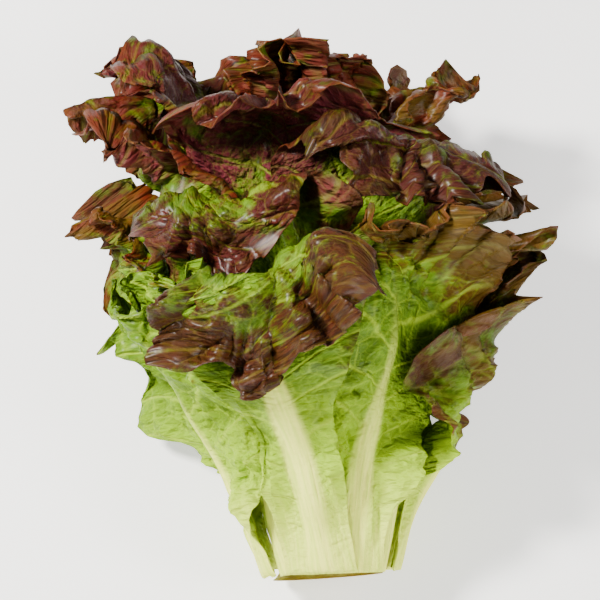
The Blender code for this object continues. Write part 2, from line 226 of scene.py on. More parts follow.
def read_map(table, row, column):
    """table between its cells, at rows and columns counted in cells."""
    row = np.clip(row, 0, table.shape[0] - 1.001)
    column = np.clip(column, 0, table.shape[1] - 1.001)
    i, j = row.astype(int), column.astype(int)
    p, q = row - i, column - j
    near = table[i, j] * (1 - q) + table[i, j + 1] * q
    far = table[i + 1, j] * (1 - q) + table[i + 1, j + 1] * q
    return near * (1 - p) + far * p


def soft_noise(x, y, seed):
    """Smooth noise from about -1 to 1, with features one unit across."""
    turns = np.random.default_rng(1000 + seed).uniform(0, 2 * math.pi, (64, 64))
    i, j = np.floor(x).astype(int), np.floor(y).astype(int)
    p, q = x - i, y - j

    def corner(di, dj):
        angle = turns[(i + di) % 64, (j + dj) % 64]
        return np.cos(angle) * (p - di) + np.sin(angle) * (q - dj)

    u, v = smoothstep(p), smoothstep(q)
    low = corner(0, 0) * (1 - u) + corner(1, 0) * u
    high = corner(0, 1) * (1 - u) + corner(1, 1) * u
    return 1.5 * (low * (1 - v) + high * v)


class Fountain:
    """The streamlines, worked out once for a range of layers."""

    def __init__(self):
        self.layer_step = DEEPEST / LAYER_CELLS
        self.distance_step = REACH / DISTANCE_CELLS
        layer = (np.arange(LAYER_CELLS + 1) * self.layer_step)[:, None]
        distance = (np.arange(DISTANCE_CELLS + 1) * self.distance_step)[None, :]
        past = (layer + np.hypot(layer - 1, 0.15) - math.hypot(1, 0.15)) / 2
        spread = layer - 0.7 * past
        start = CURL_START + CURL_DELAY * (1 - np.minimum(layer, 1))
        share = 1.6 * spread**2.5 / (0.6 + spread**2.5)
        curl = TIP_CURL * share * smoothstep((distance - start) / CURL_SPAN)
        lean = np.radians(spread * STALK_LEAN + curl)
        butt = BUTT_RADIUS * (layer + 1.5 * past)
        self.radius = butt + running_sum(np.sin(lean), self.distance_step)
        self.height = running_sum(np.cos(lean), self.distance_step)
        self.spacing = np.gradient(self.radius, self.layer_step, axis=0) * np.cos(lean)
        self.spacing -= np.gradient(self.height, self.layer_step, axis=0) * np.sin(lean)

    def read(self, table, distance, layer):
        layer = np.broadcast_to(layer, np.shape(distance))
        return read_map(table, layer / self.layer_step, distance / self.distance_step)

    def pressed_spacing(self, azimuth, distance, layer):
        """The distance from one layer to the next, once the head lies on its back."""
        front = self.read(self.radius, distance, layer) * np.cos(azimuth)
        towards = np.cos(azimuth) / (DEPTH_SHARE * back_share(front) ** 2)
        return self.read(self.spacing, distance, layer) / np.hypot(np.sin(azimuth), towards)

    def layer_at(self, azimuth, distance, layer, offset):
        """The layer that lies so far outside another one."""
        first = layer + offset / self.pressed_spacing(azimuth, distance, layer)
        return layer + offset / self.pressed_spacing(azimuth, distance, (layer + first) / 2)

    def point(self, azimuth, distance, layer):
        """In the head's own frame: X to the side, Y up the axis and Z to the front."""
        radius = self.read(self.radius, distance, layer)
        height = self.read(self.height, distance, layer)
        return np.stack([radius * np.sin(azimuth), height, radius * np.cos(azimuth)], axis=-1)


def over_neighbours(field, cells, combine):
    """Each cell combined with those near it, round the azimuths and along the streamlines."""
    around = [np.roll(field, step, axis=0) for step in range(-cells, cells + 1)]
    field = np.pad(combine(around, axis=0), ((0, 0), (cells, cells)), mode="edge")
    beside = [np.roll(field, step, axis=1) for step in range(-cells, cells + 1)]
    return combine(beside, axis=0)[:, cells:-cells]


def azimuth_cells(azimuth):
    return np.mod(azimuth, 2 * math.pi) * AZIMUTH_CELLS / (2 * math.pi)


def root_distance(layer):
    """From the cut to where a leaf of that layer leaves the stem."""
    return BUTT_TRIM + CORE_HEIGHT * (1 - np.clip(layer, 0, 1)) ** 1.3


class Sheet:
    """One leaf as a sheet through the fountain. across runs from -1 to 1 and along from 0 to 1."""

    def __init__(self, leaf, fountain, detail):
        self.leaf = leaf
        self.fountain = fountain
        self.detail = detail
        self.floor = self.bare = None
        self.root = root_distance(leaf.layer)
        self.length = leaf.length * MM - self.root
        random = np.random.default_rng(leaf.seed)
        self.phases = random.uniform(0, 2 * math.pi, 8)
        self.pleats = random.uniform(*PLEATS)
        self.sway = random.uniform(-SWAY, SWAY)
        over = leaf.turn > RIGHT_OVER
        self.centre = (leaf.fold * MM - self.root) / self.length if over else FAN_CENTRE

    def half_width(self, along):
        """Narrow up the stalk, widest near three quarters of the way up, and less wide at the tip."""
        most = self.leaf.half_width * MM
        blade = smoothstep((along - self.leaf.stalk) / (WIDEST - self.leaf.stalk))
        tip = 1 - TIP_NARROWING * smoothstep((along - WIDEST) / (1.5 - WIDEST))
        return (STALK_HALF_WIDTH + (most - STALK_HALF_WIDTH) * blade) * tip

    def lobes(self, across, along):
        """How far the margin bulges and nicks, as a share of the leaf's size."""
        turn = np.arctan2(across, along - 0.45)
        few, many = (np.sin(n * turn + phase) for n, phase in zip(LOBE_COUNTS, self.phases))
        edge = np.maximum(np.abs(across), smoothstep((along - 0.7) / 0.3))
        nicks = sum(
            depth * (np.sin(count * turn + self.phases[3] * count) - 0.6)
            for count, depth in NICKS
        )
        return (LOBE_SIZE * (few + 0.5 * many)) * edge**3 + nicks * edge**6

    def fan(self, across, along):
        """(reach, turn): how far a place is from the point where the pleats meet, and in which
        direction."""
        above = np.maximum(along - self.centre, 0) / (1 - self.centre)
        reach = np.clip(np.hypot(across, above), 0, 1.25)
        return reach, np.arctan2(across * 0.9, along - self.centre)

    def ruffle(self, across, along):
        """How high the blade waves, and where in the wave it is, from about -1 to 1."""
        reach, turn = self.fan(across, along)
        rise = reach**1.6 * smoothstep((along - 0.10) / 0.35)
        p = self.phases
        pleats = np.sin(self.pleats * turn + p[2] + 0.9 * np.sin(2 * turn + p[3]))
        sway = np.sin(3 * turn + p[5])
        return self.leaf.wave * MM * rise, 0.7 * pleats + 0.45 * sway

    def frill(self, across, along):
        """(height, turn) of the frills along the margin. The turn, round the fan's centre, leans each of
        them over on both sides."""
        reach, turn = self.fan(across, along)
        p = self.phases
        height = np.zeros_like(turn)
        lean = np.zeros_like(turn)
        for k, (count, share, begins) in enumerate(FRILLS):
            bend = 1.6 * np.sin(3 * turn + p[k]) + 0.8 * np.sin(7 * turn + p[k + 1])
            swing = 0.7 + 0.3 * np.sin((5 + 2 * k) * turn + p[k + 4])
            grow = swing * smoothstep((reach - begins) / (1.05 - begins))
            phase = count * turn + bend + p[6]
            height += share * grow * np.sin(phase)
            lean -= OVERHANG / count * grow * np.sin(2 * phase)
        start = smoothstep((along - 0.04) / 0.2) * self.leaf.frill
        return self.detail.frill_height * start * height, start * lean

    def veins(self, side, run):
        """How many side veins leave the midrib below the one that runs nearest to a place."""
        out, up = np.abs(side), run - 0.8 * np.abs(side)
        bow = 0.6 * out**2 / (100 * MM)
        wander = 0.35 * soft_noise(side / CRUMPLE, run / CRUMPLE, self.leaf.seed + 150)
        return (up + bow) / VEIN_STEP + np.where(side > 0, 0.5, 0) + wander

    def relief(self, along, side, run):
        """Height of the crumples, of the quilting between the side veins and of the cushions, which meet
        in sharp valleys on the inner face."""
        seed = self.leaf.seed
        height = CRUMPLE_HEIGHT * soft_noise(side / CRUMPLE, run / CRUMPLE, seed + 100)
        quilt = np.abs(np.sin(math.pi * self.veins(side, run))) ** 0.7
        height += QUILT_HEIGHT * (0.6 - quilt)
        for size, share in CUSHIONS:
            x, y = side / size, run / size
            warp = 0.5 * soft_noise(x / 2, y / 2, seed + 20)
            ridge = np.abs(soft_noise(x + warp, y - warp, seed + 50))
            height += share * self.detail.cushion_height * (0.3 - ridge)
        width = self.rib_width(along)
        beside = smoothstep((np.abs(side) - 0.7 * width) / (6 * MM))
        beside = np.maximum(beside, smoothstep((along - 0.6) / 0.4))
        return height * beside * smoothstep((along - 0.08) / 0.24)

    def bend(self, run, across, offset):
        """(distance, offset, turn) past the fold, which turns the leaf out and down over itself."""
        leaf = self.leaf
        if not leaf.fold:
            return run, offset, np.zeros_like(run)
        p = self.phases
        radius = leaf.fold_radius * MM * (1 + 0.2 * np.sin(3 * across + p[6]))
        most = np.radians(leaf.turn + 10 * np.sin(2.5 * across + p[7]))
        start = (leaf.fold - 12 * across**2 + 4 * np.sin(4 * across + p[6])) * MM
        past = run - start
        turn = np.clip(past / radius, 0, most)
        rest = np.maximum(past - radius * most, 0)
        limit = FOLD_ROOM * radius
        offset = offset + smoothstep(turn / 2) * (limit * np.tanh(offset / limit) - offset)
        distance = np.minimum(run, start) + (radius - offset) * np.sin(turn) + rest * np.cos(turn)
        lift = radius - (radius - offset) * np.cos(turn) + rest * np.sin(turn)
        return distance, lift, turn

    def under_fold(self, run):
        """1 where a leaf that folds flat over covers its own blade."""
        if self.leaf.turn <= FLAT_OVER:
            return np.zeros_like(run)
        below = self.leaf.fold * MM - run
        return smoothstep(below / (8 * MM)) * (1 - smoothstep((below - OWN_COVER) / (25 * MM)))

    def rib_width(self, along):
        return RIB_HALF_WIDTH * (1 - 0.8 * smoothstep(along / 0.9))

    def rib(self, across, along):
        """Height of the midrib over the blade."""
        width = self.rib_width(along)
        height = RIB_HEIGHT * (1 - smoothstep((along - 0.05) / 0.85))
        return height * np.exp(-((self.half_width(along) * across / width) ** 2))

    def thickness(self, across, along):
        edge = np.maximum(np.abs(across), along**4)
        return self.detail.blade_thickness * (1 - 0.35 * edge**4) + self.rib(across, along)

    def spread(self, across, along):
        """(side, run): a place's distance from the midrib and up the streamline, laid flat."""
        leaf = self.leaf
        lobes = self.lobes(across, along)
        side = self.half_width(along) * across * (1 + lobes)
        corner = leaf.corner * leaf.half_width * MM * np.abs(across) ** 2.4 * along**3
        run = self.root + self.length * (1 + 0.6 * lobes * along**2) * along - corner
        cut = 1 - np.sqrt(1 - (0.15 + 0.8 * leaf.corner) * (across * smoothstep(2 * along - 1)) ** 2)
        return side * (1 - cut), run - 0.4 * self.length * cut

    def azimuth(self, side, along, distance):
        leaf, fountain = self.leaf, self.fountain
        radius = fountain.read(fountain.radius, distance, leaf.layer)
        middle = leaf.azimuth + leaf.skew * along + self.sway * np.sin(math.pi * along)
        return np.radians(middle) + side / np.maximum(radius, 0.9 * BUTT_RADIUS)

    def footprint(self, across, along):
        """(azimuth, distance) without the waves."""
        side, run = self.spread(across, along)
        distance, _, _ = self.bend(run, across, 0)
        return self.azimuth(side, along, distance), distance

    def place(self, across, along):
        """azimuth, then (distance, layer) of the leaf's inner face and of its outer face."""
        leaf, fountain = self.leaf, self.fountain
        side, run = self.spread(across, along)
        margin = np.maximum(np.abs(across), along**4) ** 3 * smoothstep(along * 2 - 0.6)
        height, wave = self.ruffle(across, along)
        bare = self.read_map(self.bare, *self.footprint(across, along)) * (1 - self.under_fold(run))
        free_share = COVERED_SHARE + (1 - COVERED_SHARE) * bare
        frill, lean = self.frill(across, along)
        frill = free_share * (frill + self.relief(along, side, run))
        lift = height * wave + leaf.roll * MM * margin + frill
        above = run - self.root - self.length * self.centre
        side, run = side + lean * above, run - lean * side
        thick = self.thickness(across, along)

        distance, inner, turn = self.bend(run, across, lift)
        outer_distance, outer, _ = self.bend(run, across, lift + thick)
        azimuth = self.azimuth(side, along, distance)
        spacing = fountain.pressed_spacing(azimuth, distance, leaf.layer)
        gap = ROOT_GAP + (LEAF_GAP - ROOT_GAP) * smoothstep(along * 3)
        gap += thick * np.maximum(-np.cos(turn), 0)
        gap += RUFFLE_REST * height * (1.2 + wave) + frill + BARE_REST * bare * smoothstep(along * 2)
        gap = (gap + np.hypot(gap, LEAF_GAP)) / 2
        floor = self.read_map(self.floor, azimuth, distance) + gap / spacing
        free = fountain.layer_at(azimuth, distance, leaf.layer, inner)
        # Past a fold the blade hangs further off its own lower part where that is pushed out.
        pushed = np.clip(floor - leaf.layer, 0, FOLD_PUSH / spacing)
        hanging = free + pushed * smoothstep(turn)
        soft = SOFT_CONTACT / spacing
        inner = (hanging + floor + np.sqrt((hanging - floor) ** 2 + soft**2)) / 2
        outer = fountain.layer_at(azimuth, outer_distance, leaf.layer, outer) + inner - free
        drop = (self.root - root_distance(inner)) * smoothstep(1 - 5 * along)
        return azimuth, (distance - drop, inner), (outer_distance - drop, outer)

    def read_map(self, table, azimuth, distance):
        """table at a place. Its first azimuth stands again at the end, to close it."""
        closed = np.concatenate([table, table[:1]])
        return read_map(closed, azimuth_cells(azimuth), distance / self.fountain.distance_step)

    def outer_face(self, across, along):
        azimuth, _, (distance, layer) = self.place(across, along)
        return inside_box(lay_down(self.fountain.point(azimuth, distance, layer)))


def stack(leaves, fountain, detail):
    """Lays the leaves from the heart outwards and returns a Sheet for each. A leaf's bare map is 1 where
    no leaf lies over it, and its floor is the height of what lies under it."""
    side = np.linspace(-1, 1, 241)
    samples = np.meshgrid(side, (side + 1) / 2)
    ordered = sorted(leaves, key=lambda leaf: leaf.layer)
    sheets = [Sheet(leaf, fountain, detail) for leaf in ordered]

    def cells(azimuth, distance):
        i = azimuth_cells(azimuth).astype(int) % AZIMUTH_CELLS
        return i, np.clip((distance / fountain.distance_step).astype(int), 0, DISTANCE_CELLS)

    covered = np.zeros((AZIMUTH_CELLS, DISTANCE_CELLS + 1))
    for sheet in reversed(sheets):
        sheet.bare = 1 - over_neighbours(covered, BLUR_CELLS, np.mean)
        covered[cells(*sheet.footprint(*samples))] = 1
    top = np.zeros_like(covered)
    for sheet in sheets:
        highest = over_neighbours(top, CLEAR_CELLS, np.max)
        sheet.floor = over_neighbours(highest, BLUR_CELLS, np.mean)
        azimuth, *faces = sheet.place(*samples)
        for distance, layer in faces:
            np.maximum.at(top, cells(azimuth, distance), layer)
    return sheets


def swell(points):
    """Moves points by the sum of the swells, which fade out towards the butt."""
    random = np.random.default_rng(SWELL_SEED)
    moved = points.copy()
    fade = smoothstep((points[:, 1] - SWELL_FADE[0]) / SWELL_FADE[1])
    for length, height in SWELLS:
        for _ in range(3):
            across, along = random.normal(size=(2, 3))
            along -= across * (across @ along) / (across @ across)
            across, along = (v / np.linalg.norm(v) for v in (across, along))
            phase = random.uniform(0, 2 * math.pi)
            wave = np.sin(points @ along * 2 * math.pi / (length * MM) + phase)
            moved += (height * MM * fade * wave)[:, None] * across
    return moved


def back_share(front):
    """What is left of a depth behind the axis, where the head's weight presses it flat."""
    return 1 / (1 - np.minimum(front, 0) / BACK_DEPTH)


def turned(first, second, angle):
    """Two coordinates after a turn from the first axis towards the second."""
    cosine, sine = math.cos(math.radians(angle)), math.sin(math.radians(angle))
    return first * cosine - second * sine, first * sine + second * cosine


def lay_down(points):
    """From the head's own frame to the surface that it lies on."""
    side, up, front = swell(points).T
    front = DEPTH_SHARE * front * back_share(front)
    side, front = turned(side, front, -HEAD_ROLL)
    side, up = turned(side, up, HEAD_LEAN)
    up, front = turned(up, front, HEAD_TILT)
    return np.stack([side + HEAD_CENTRE_X, up - HEAD_CENTRE_Y, front + AXIS_HEIGHT], axis=-1)


def inside_box(points):
    """Eases what would stand out of the solids' box back into it, and presses the underside flat."""
    low, high = np.array(SOLID_LOW), np.array(SOLID_HIGH)
    over = np.maximum(points - (high - SOFT_MARGIN), 0)
    points = np.minimum(points, high - SOFT_MARGIN) + SOFT_MARGIN * (1 - np.exp(-over / SOFT_MARGIN))
    under = np.maximum(low + SOFT_MARGIN - points, 0)
    eased = np.maximum(points, low + SOFT_MARGIN) - SOFT_MARGIN * (1 - np.exp(-under / SOFT_MARGIN))
    points[:, :2] = eased[:, :2]
    points[:, 2] = np.maximum(points[:, 2], 0)
    return points


class Socket:
    """A node's output. Its arithmetic adds Math nodes to the tree."""

    def __init__(self, finish, output):
        self.finish = finish
        self.output = output

    def math(self, operation, *values):
        names = range(len(values))
        return self.finish.add("Math", {"operation": operation}, dict(zip(names, values)))

    def __add__(self, other):
        return self.math("ADD", self, other)

    def __sub__(self, other):
        return self.math("SUBTRACT", self, other)

    def __rsub__(self, other):
        return self.math("SUBTRACT", other, self)

    def __mul__(self, other):
        return self.math("MULTIPLY", self, other)

    def __abs__(self):
        return self.math("ABSOLUTE", self)

    __radd__ = __add__
    __rmul__ = __mul__

    def fraction(self):
        return self.math("FRACT", self)

    def most(self, other):
        return self.math("MAXIMUM", self, other)

    def rise(self, low, high):
        """0 below low and 1 above high, with a smooth step between."""
        settings = {"interpolation_type": "SMOOTHSTEP"}
        return self.finish.add(
            "MapRange", settings, {"Value": self, "From Min": low, "From Max": high}, "Result"
        )


class Finish:
    """A material and the nodes that feed its shader."""

    def __init__(self, name):
        self.material = bpy.data.materials.new(name)
        self.material.use_nodes = True
        self.tree = self.material.node_tree
        self.shader = self.tree.nodes["Principled BSDF"]

    def add(self, kind, settings, values, output=0):
        """A node of this type, with its settings and the values or links of its sockets."""
        node = self.tree.nodes.new("ShaderNode" + kind)
        for key, value in settings.items():
            setattr(node, key, value)
        self.feed(node, values)
        return Socket(self, node.outputs[output])

    def feed(self, node, values):
        """Links or sets the node's sockets."""
        for name, value in values.items():
            if isinstance(value, Socket):
                self.tree.links.new(value.output, node.inputs[name])
            else:
                node.inputs[name].default_value = value

    def attribute(self, name):
        return self.add("Attribute", {"attribute_name": name}, {}, "Fac")

    def noise(self, vector, scale, detail, roughness):
        values = {"Vector": vector, "Scale": scale, "Detail": detail, "Roughness": roughness}
        return self.add("TexNoise", {}, values, "Fac")

    def cells(self, vector, scale):
        """Distance from the walls between cells, which is 0 on a wall."""
        settings = {"feature": "DISTANCE_TO_EDGE", "voronoi_dimensions": "2D"}
        return self.add("TexVoronoi", settings, {"Vector": vector, "Scale": scale}, "Distance")

    def mix(self, share, first, second):
        """The first colour, turned into the second by a share from 0 to 1."""
        first, second = (
            value if isinstance(value, Socket) else (*value, 1) for value in (first, second)
        )
        return self.add("Mix", {"data_type": "RGBA"}, {0: share, 6: first, 7: second}, 2)


def leaf_veins(finish, flat):
    """(side veins, their network) as two masks. flat is the place on the leaf, in centimetres."""
    order = finish.attribute("veins")
    near = abs((order + 0.5).fraction() - 0.5) * 2
    side_veins = 1 - near.rise(0.02, 0.16)
    network = 1 - finish.cells(flat, 1.15).rise(0.0, 0.08)
    fine = 1 - finish.cells(flat, 3.6).rise(0.0, 0.14)
    return side_veins, network.most(fine * 0.4)


def leaf_finish(name, colours, faded, gloss):
    """colours: a palette for the tissues of this face of the leaves. faded: how much its veins show.
    gloss: weight of its wax."""
    finish = Finish(name)
    flat = finish.add("UVMap", {"uv_map": "flat"}, {})
    red = finish.attribute("red")
    pale = finish.attribute("pale")
    rib = finish.attribute("rib")
    wine = finish.attribute("wine")
    place = finish.add("TexCoord", {}, {}, "Object")
    side_veins, network = leaf_veins(finish, flat)
    side_veins = side_veins * (1 - rib)
    clouds = finish.noise(place, 34.0, 4.0, 0.6)
    tints = finish.noise(place, 62.0, 3.0, 0.5)
    spots = finish.noise(place, 170.0, 5.0, 0.65)
    patches = finish.noise(place, 80.0, 3.0, 0.6)
    swollen = finish.attribute("swollen")
    strands = finish.add("Mapping", {}, {"Vector": flat, "Scale": (9.0, 0.35, 1.0)})
    strands = finish.noise(strands, 1.0, 3.0, 0.55)

    # Lighter green in random clouds, plus painted light: the tops of the bulges are made lighter green than
    # their valleys.
    light_green_and_painted_light = clouds * 1.2 - 0.1 + swollen * 0.12
    green = finish.mix(light_green_and_painted_light.rise(0.2, 0.8), colours["green"], colours["light"])
    tissue = finish.mix(pale, green, colours["pale"])
    # Painted shade: the green darkens in the valleys between the bulges.
    tissue = finish.mix((0.1 - swollen).rise(0.0, 1.3) * 0.55, tissue, colours["green"])
    brown = finish.mix((tints - wine * 0.3).rise(0.38, 0.62), colours["red"], colours["brown"])
    deep = finish.mix((wine + clouds * 0.9 - 0.55).rise(0.0, 0.7), brown, colours["wine"])
    # Margins turn a lighter reddish brown: partly their own colour, partly painted light shining through the
    # thin edge.
    deep = finish.mix(finish.attribute("rim") * spots.rise(0.25, 0.6), deep, colours["rim"])
    # Painted shade in the creases: the sunken valleys lean to the nearly black colour, on top of each leaf's
    # own darkness.
    painted_crease_shade = (0.2 - swollen).rise(0.0, 1.4)
    darkness_and_painted_shade = finish.attribute("dark") * (0.55 + patches * 0.9) + painted_crease_shade * 0.45
    deep = finish.mix(darkness_and_painted_shade.rise(0.0, 1.0), deep, colours["dark"])
    veil = red * 0.85 + (spots - 0.5) * 1.3 + (patches - 0.5) * 1.3 + (clouds - 0.5) * 0.9
    veil = veil + swollen * 0.12 - side_veins * 0.25 - network * 0.1
    blush = (veil - pale * 0.4).rise(0.15, 0.75)
    tissue = finish.mix(blush, tissue, deep)
    vein_tint = finish.mix(red, colours["vein"], colours["red_vein"])
    tissue = finish.mix((side_veins * 0.7).most(network * 0.35) * faded, tissue, vein_tint)
    stalk = finish.mix(strands.rise(0.35, 0.7) * 0.45, colours["rib"], colours["pale"])
    tissue = finish.mix(rib, tissue, stalk)

    rough = 0.4 + finish.noise(flat, 5.0, 4.0, 0.6) * 0.26 + pale * 0.06
    grain = finish.noise(flat, 3.2, 6.0, 0.65)
    pillows = finish.cells(flat, 1.15).rise(0.0, 0.3) + finish.cells(flat, 2.9).rise(0.0, 0.4) * 0.6
    pillows = pillows + finish.cells(flat, 7.0).rise(0.0, 0.5) * 0.25
    relief = pillows * (1 - rib) - side_veins * 0.7 + grain * (1.6 - rib) + strands * rib * 0.8
    bump = finish.add(
        "Bump", {}, {"Strength": 0.9, "Distance": 1.4 * MM, "Height": relief}, "Normal"
    )
    finish.feed(finish.shader, {
        "Base Color": tissue,
        "Roughness": rough,
        "Normal": bump,
        "Coat Weight": gloss * (1 - pale),
        "Coat Roughness": 0.3,
        "Specular IOR Level": 0.1,
        "Subsurface Weight": 0.1,
        "Subsurface Radius": (1.0, 0.9, 0.3),
        "Subsurface Scale": 1.2 * MM,
    })
    return finish.material


def stem_finish(colour):
    """Cut stem tissue: pale pith, a ring of strands round it, and a rim that the air has dried brown."""
    finish = Finish("cut_stem")
    place = finish.add("TexCoord", {}, {}, "Object")
    outward = finish.attribute("outward")
    patches = finish.noise(place, 110.0, 5.0, 0.65)
    strands = finish.noise(place, 520.0, 3.0, 0.6)
    ring = outward.rise(0.5, 0.68) * (1 - outward.rise(0.78, 0.92))
    dried = (outward + patches * 0.5 - 0.25).rise(0.82, 1.0)
    flesh = finish.mix(patches.rise(0.3, 0.7), colour, tuple(0.8 * c for c in colour))
    flesh = finish.mix(ring * strands.rise(0.42, 0.6), flesh, (0.36, 0.40, 0.10))
    flesh = finish.mix(dried * 0.6, flesh, (0.40, 0.22, 0.05))
    bump = finish.add(
        "Bump", {}, {"Strength": 0.5, "Distance": 0.4 * MM, "Height": strands + patches}, "Normal"
    )
    finish.feed(finish.shader, {
        "Base Color": flesh,
        "Roughness": 0.38 + patches * 0.2,
        "Normal": bump,
        "Specular IOR Level": 0.3,
        "Subsurface Weight": 0.2,
        "Subsurface Radius": (1.0, 0.8, 0.4),
        "Subsurface Scale": 2 * MM,
    })
    return finish.material


def add_leaf(sheet, detail, finishes):
    """One leaf in place of its solid: a grid drawn over the sheet, given its thickness."""
    leaf = sheet.leaf
    share = HEART_CELLS + (1 - HEART_CELLS) * min(leaf.layer / 0.6, 1)
    bm = bmesh.new()
    bmesh.ops.create_grid(
        bm, x_segments=round(detail.columns * share), y_segments=round(detail.rows * share), size=1
    )
    # The cells crowd towards the margin, where the frills are.
    grid = np.array([v.co for v in bm.verts])
    across = grid[:, 0] * (1.3 - 0.3 * grid[:, 0] ** 2)
    along = 1 - ((1 - grid[:, 1]) / 2) ** 1.25
    for vertex, point in zip(bm.verts, sheet.outer_face(across, along)):
        vertex.co = point
    # The thickness grows from the outer face, which leaves room for it over the floor.
    thick = sheet.thickness(across, along)
    for vertex, deep in zip(bm.verts, thick):
        vertex.co.z = max(vertex.co.z, float(deep))
    side, run = sheet.spread(across, along)
    layer = bm.loops.layers.uv.new("flat")
    for face in bm.faces:
        for loop in face.loops:
            i = loop.vert.index
            loop[layer].uv = (side[i] / CM, run[i] / CM)
    mesh = bpy.data.meshes.new(leaf.name + "_blade")
    bm.to_mesh(mesh)
    bm.free()
    mesh.shade_smooth()
    made = bpy.data.objects.new(leaf.name + "_blade", mesh)
    bpy.context.collection.objects.link(made)
    for finish in finishes:
        mesh.materials.append(finish)

    edge = np.maximum(np.abs(across), along**4)
    near = smoothstep((along - leaf.green + 0.35) / 0.35)
    climb = (along - leaf.green) / RED_OVER - 0.15 + RED_MARGIN * edge**3 * near
    width = RIB_HALF_WIDTH * (0.9 - 0.8 * smoothstep(along / 0.8))
    tones = {
        "red": smoothstep(climb),
        "pale": (1 - smoothstep((run - PALE[0]) / PALE[1])) * 0.95,
        "veins": sheet.veins(side, run),
        "swollen": sheet.relief(along, side, run) / (2 * MM),
        "wine": np.full_like(along, leaf.wine),
        # Rim: where the margin is tinted lighter, partly its own colour and partly painted light through the
        # thin edge.
        "rim": 0.8 * edge**10,
        "dark": np.full_like(along, leaf.dark),
        "rib": np.maximum(
            np.exp(-((side / width) ** 6)) * (1 - smoothstep((along - 0.2) / 0.6)),
            0.8 * (1 - smoothstep((run - CREAM[0]) / CREAM[1])),
        ),
    }
    for name, values in tones.items():
        attribute = mesh.attributes.new(name, "FLOAT", "POINT")
        attribute.data.foreach_set("value", values.astype(np.float32))

    most = float(thick.max())
    group = made.vertex_groups.new(name="thickness")
    for i, value in enumerate(thick):
        group.add([i], float(value) / most, "REPLACE")
    solid = made.modifiers.new("blade", "SOLIDIFY")
    solid.thickness = most
    solid.offset = -1
    solid.vertex_group = "thickness"
    solid.material_offset = 1
    solid.material_offset_rim = 1
    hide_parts(leaf.name)
    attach(made, "root")


def add_stem(fountain, detail, finish):
    """The cut stem, turned round the axis, with a softened edge round its cut."""
    layers = np.linspace(0, 1, 24)
    distance = root_distance(layers) - ROOT_GAP
    radius = fountain.read(fountain.radius, distance, layers)
    height = fountain.read(fountain.height, distance, layers)
    lip = 0.25 * MM
    outline = [*zip(radius, height), (radius[-1], lip), (radius[-1] - lip, 0)]
    outline += [(radius[-1] * share, 0) for share in (0.9, 0.7, 0.5, 0.3, 0.12, 0)]
    outline[0] = (0, height[0])
    bm = bmesh.new()
    chain = [bm.verts.new((r, h, 0)) for r, h in outline]
    for a, b in zip(chain, chain[1:]):
        bm.edges.new((a, b))
    bmesh.ops.spin(
        bm, geom=bm.verts[:] + bm.edges[:], cent=(0, 0, 0), axis=(0, 1, 0), dvec=(0, 0, 0),
        angle=2 * math.pi, steps=detail.stem_sides, use_merge=True,
    )
    bmesh.ops.remove_doubles(bm, verts=bm.verts, dist=0.01 * MM)
    bmesh.ops.recalc_face_normals(bm, faces=bm.faces)
    points = np.array([v.co for v in bm.verts])
    outward = np.hypot(points[:, 0], points[:, 2]) / radius[-1]
    for vertex, point in zip(bm.verts, lay_down(points)):
        vertex.co = point
    mesh = bpy.data.meshes.new("cut_stem")
    bm.to_mesh(mesh)
    bm.free()
    mesh.shade_smooth()
    mesh.materials.append(finish)
    attribute = mesh.attributes.new("outward", "FLOAT", "POINT")
    attribute.data.foreach_set("value", outward.astype(np.float32))
    made = bpy.data.objects.new("cut_stem", mesh)
    bpy.context.collection.objects.link(made)
    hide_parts("stem")
    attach(made, "root")


def add_lamp(name, where, power, size, target):
    lamp = bpy.data.objects.new(name, bpy.data.lights.new(name, "AREA"))
    lamp.data.color = LAMP_COLOUR
    lamp.data.energy = power
    lamp.data.size = size
    lamp.location = where
    lamp.rotation_euler = (Vector(target) - Vector(where)).to_track_quat("-Z", "Y").to_euler()
    bpy.context.collection.objects.link(lamp)


class LettuceDetail(bpy.types.PropertyGroup):
    """Sizes and colours of the fine leaves."""

    frill_height: FloatProperty(
        name="Frill height", description="Height of the frills along a margin",
        default=7.5 * MM, min=0, subtype="DISTANCE",
    )
    cushion_height: FloatProperty(
        name="Cushion height", description="Height of the cushions between the veins",
        default=5.4 * MM, min=0, subtype="DISTANCE",
    )
    blade_thickness: FloatProperty(
        name="Blade thickness", description="Thickness of a blade away from its midrib",
        default=0.7 * MM, min=0.1 * MM, subtype="DISTANCE",
    )
    columns: IntProperty(
        name="Columns", description="Cells across an outer leaf", default=92, min=10
    )
    rows: IntProperty(name="Rows", description="Cells up an outer leaf", default=116, min=10)
    stem_sides: IntProperty(name="Stem sides", description="Sides of the stem", default=96, min=8)
    rib_colour: FloatVectorProperty(
        name="Rib", description="Colour of the ribs", subtype="COLOR", default=(0.88, 0.92, 0.17)
    )
    pale_colour: FloatVectorProperty(
        name="Pale blade", description="Colour of a blade near the butt", subtype="COLOR",
        default=(0.40, 0.64, 0.008),
    )
    green_colour: FloatVectorProperty(
        name="Green blade", description="Colour of a green blade", subtype="COLOR",
        default=(0.055, 0.110, 0.001),
    )
    red_colour: FloatVectorProperty(
        name="Red blade", description="Colour of the red upper blade", subtype="COLOR",
        default=(0.120, 0.014, 0.004),
    )


